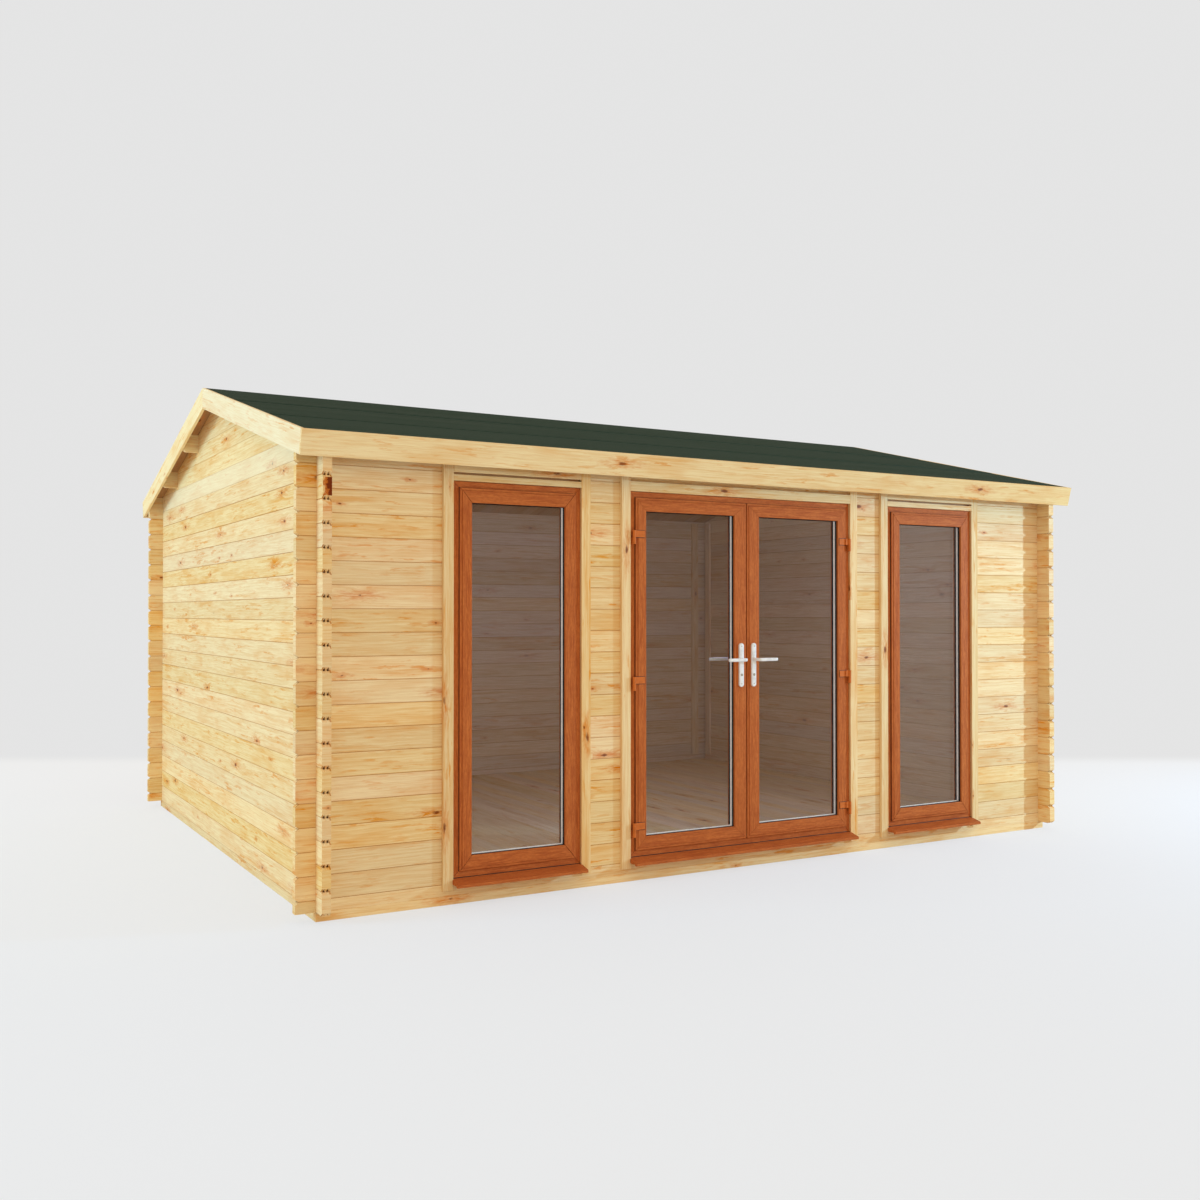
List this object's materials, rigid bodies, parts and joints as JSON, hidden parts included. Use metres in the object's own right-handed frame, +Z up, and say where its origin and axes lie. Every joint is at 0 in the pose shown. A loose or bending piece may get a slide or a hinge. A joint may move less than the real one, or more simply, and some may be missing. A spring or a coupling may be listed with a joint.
{
  "type": "log cabin",
  "caption": "Garden log cabin with interlocking log walls, a shallow felted roof, glazed double doors and tall side windows; hollow, with a boarded floor.",
  "frame": {"origin": "on the ground, in the middle of the roof's plan", "axes": "+X along the front towards its right end, +Y from the front to the back, +Z up"},
  "size_m": [5.23, 4.254, 2.8221],
  "materials": {
    "log_pine": "planed spruce logs, clear finish",
    "peak_pine": "planed spruce, clear finish",
    "purlin_pine": "planed spruce",
    "board_pine": "tongued and grooved spruce boards",
    "trim_pine": "planed spruce boards",
    "bearer_pine": "pressure treated softwood",
    "floor_pine": "planed floor boards",
    "roof_felt": "green mineral surfaced felt",
    "opening_pine": "planed spruce boards",
    "frame_oak": "golden oak woodgrain foil",
    "glass": "clear double glazing",
    "handle_white": "white powder coat",
    "hinge_oak": "brown powder coat"
  },
  "bodies": {
    "cabin": {"bearers": "bearer_pine", "floor_joists": "bearer_pine", "floor": "floor_pine", "front_wall_base": "log_pine", "front_wall_left": "log_pine", "front_wall_mid_left": "log_pine", "front_wall_mid_right": "log_pine", "front_wall_right": "log_pine", "front_wall_top": "log_pine", "back_wall": "log_pine", "left_gable_wall": "log_pine", "right_gable_wall": "log_pine", "corner_battens": "trim_pine", "left_gable_peak": "peak_pine", "right_gable_peak": "peak_pine", "ridge_purlin": "purlin_pine", "purlins": "purlin_pine", "front_roof_boards": "board_pine", "back_roof_boards": "board_pine", "front_roof_felt": "roof_felt", "back_roof_felt": "roof_felt", "left_barge_boards": "trim_pine", "right_barge_boards": "trim_pine", "fascias": "trim_pine", "sills": "frame_oak", "left_window_frame": "frame_oak", "left_window_sash": "frame_oak", "left_window_glass": "glass", "left_window_trim": "opening_pine", "right_window_frame": "frame_oak", "right_window_sash": "frame_oak", "right_window_glass": "glass", "right_window_trim": "opening_pine", "door_frame": "frame_oak", "door_trim": "opening_pine", "door_frame_hinges": "hinge_oak"},
    "left_door": {"left_door_leaf": "frame_oak", "left_door_glass": "glass", "left_door_hinges": "hinge_oak", "left_door_handle_plates": "handle_white"},
    "right_door": {"right_door_leaf": "frame_oak", "right_door_glass": "glass", "right_door_hinges": "hinge_oak", "right_door_handle_plates": "handle_white"},
    "left_lever": {"left_door_lever": "handle_white"},
    "right_lever": {"right_door_lever": "handle_white"}
  },
  "joints": [
    {"name": "left_door_hinge", "type": "hinge", "parent": "cabin", "child": "left_door", "pos_m": [-0.763, -2.005, 0], "axis": [0, 0, -1], "range_deg": [0, 100]},
    {"name": "right_door_hinge", "type": "hinge", "parent": "cabin", "child": "right_door", "pos_m": [0.763, -2.005, 0], "axis": [0, 0, 1], "range_deg": [0, 100]},
    {"name": "left_lever_turn", "type": "hinge", "parent": "left_door", "child": "left_lever", "pos_m": [-0.044, -1.975, 1.185], "axis": [0, -1, 0], "range_deg": [0, 40], "stiffness_Nm_per_rad": 2, "springref_deg": -20.05},
    {"name": "right_lever_turn", "type": "hinge", "parent": "right_door", "child": "right_lever", "pos_m": [0.044, -1.975, 1.185], "axis": [0, 1, 0], "range_deg": [0, 40], "stiffness_Nm_per_rad": 2, "springref_deg": -20.05}
  ]
}
